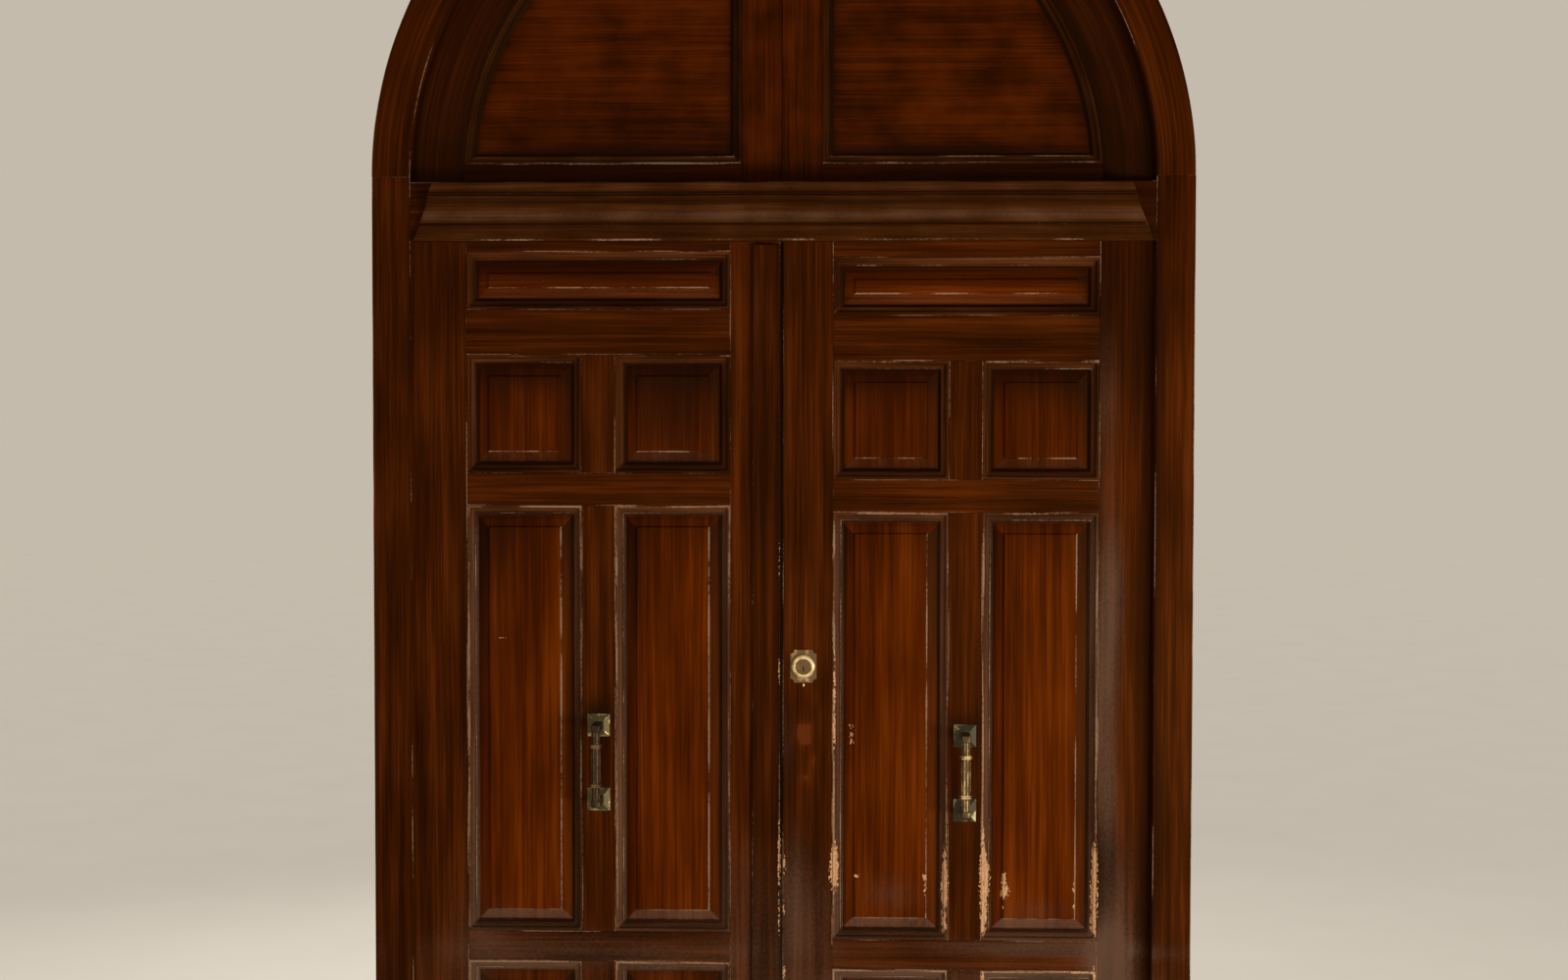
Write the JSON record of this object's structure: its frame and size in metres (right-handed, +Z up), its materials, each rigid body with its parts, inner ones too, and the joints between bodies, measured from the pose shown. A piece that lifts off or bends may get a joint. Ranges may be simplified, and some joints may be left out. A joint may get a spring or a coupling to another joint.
{
  "type": "arched double door",
  "caption": "Arched double entrance door of panelled varnished wood in its frame, with a moulded cornice, a fixed half-round tympanum, pull handles and a lock.",
  "frame": {"origin": "underside of the threshold, at the middle of the doorway and of the frame's depth", "axes": "+X across the doorway to the right seen from outdoors, +Y indoors, +Z up"},
  "size_m": [1.492, 0.151, 2.856],
  "materials": {
    "varnished_wood": "dark worn varnish",
    "panel_wood": "reddish worn varnish",
    "aged_brass": "dull aged",
    "steel": "satin",
    "black_iron": "dull"
  },
  "bodies": {
    "frame": {"left_jamb": "varnished_wood", "right_jamb": "varnished_wood", "threshold": "varnished_wood", "transom": "varnished_wood", "cornice": "varnished_wood", "arch_head_left": "varnished_wood", "arch_head_right": "varnished_wood", "tympanum_stile_left": "varnished_wood", "tympanum_stile_right": "varnished_wood", "tympanum_curved_rail_left": "varnished_wood", "tympanum_curved_rail_right": "varnished_wood", "tympanum_bottom_rails": "varnished_wood", "tympanum_panel_left": "panel_wood", "tympanum_panel_right": "panel_wood", "tympanum_mouldings": "varnished_wood", "frame_hinge_halves": "steel", "hinge_pins": "steel", "slide_bolt_keepers": "black_iron"},
    "left_leaf": {"left_hinge_stile": "varnished_wood", "left_meeting_stile": "varnished_wood", "left_bottom_rail": "varnished_wood", "left_lock_rail": "varnished_wood", "left_middle_rail": "varnished_wood", "left_frieze_rail": "varnished_wood", "left_top_rail": "varnished_wood", "left_muntins": "varnished_wood", "left_upper_panels": "panel_wood", "left_tall_panels": "panel_wood", "left_lower_panels": "panel_wood", "left_panel_mouldings": "varnished_wood", "left_leaf_hinge_halves": "steel", "left_pull_roses": "aged_brass", "left_pull_handle": "aged_brass", "astragal": "varnished_wood", "strike_plate": "steel", "slide_bolt_plates": "black_iron"},
    "right_leaf": {"right_hinge_stile": "varnished_wood", "right_meeting_stile": "varnished_wood", "right_bottom_rail": "varnished_wood", "right_lock_rail": "varnished_wood", "right_middle_rail": "varnished_wood", "right_frieze_rail": "varnished_wood", "right_top_rail": "varnished_wood", "right_muntins": "varnished_wood", "right_upper_panels": "panel_wood", "right_tall_panels": "panel_wood", "right_lower_panels": "panel_wood", "right_panel_mouldings": "varnished_wood", "right_leaf_hinge_halves": "steel", "right_pull_roses": "aged_brass", "right_pull_handle": "aged_brass", "lock_back_plate": "aged_brass", "lock_rings": "aged_brass", "lock_cylinder": "aged_brass", "lock_case": "steel"},
    "key_plug": {"lock_plug": "aged_brass"},
    "inside_turn": {"thumb_turn": "aged_brass"},
    "dead_bolt": {"lock_bolt": "steel"},
    "top_rod": {"top_slide_rod": "black_iron"},
    "bottom_rod": {"bottom_slide_rod": "black_iron"}
  },
  "joints": [
    {"name": "left_leaf_swing", "type": "hinge", "parent": "frame", "child": "left_leaf", "pos_m": [-0.6885, 0.0415, 1], "axis": [0, 0, 1], "range_deg": [0, 100]},
    {"name": "right_leaf_swing", "type": "hinge", "parent": "frame", "child": "right_leaf", "pos_m": [0.6885, 0.0415, 1], "axis": [0, 0, -1], "range_deg": [0, 100]},
    {"name": "inside_turn_turn", "type": "hinge", "parent": "right_leaf", "child": "inside_turn", "pos_m": [0.0405, 0.035, 1.2136], "axis": [0, 1, 0], "range_deg": [0, 90]},
    {"name": "key_plug_turn", "type": "hinge", "parent": "right_leaf", "child": "key_plug", "pos_m": [0.0405, -0.01, 1.2136], "axis": [0, 1, 0], "range_deg": [0, 90]},
    {"name": "dead_bolt_slide", "type": "slide", "parent": "right_leaf", "child": "dead_bolt", "axis": [-1, 0, 0], "range_m": [0, 0.016]},
    {"name": "top_rod_slide", "type": "slide", "parent": "left_leaf", "child": "top_rod", "axis": [0, 0, 1], "range_m": [0, 0.03]},
    {"name": "bottom_rod_slide", "type": "slide", "parent": "left_leaf", "child": "bottom_rod", "axis": [0, 0, -1], "range_m": [0, 0.03]}
  ],
  "couplings": [
    {"joint": "inside_turn_turn", "follows": "dead_bolt_slide", "rad_per_m": 98.17},
    {"joint": "key_plug_turn", "follows": "dead_bolt_slide", "rad_per_m": 98.17}
  ]
}
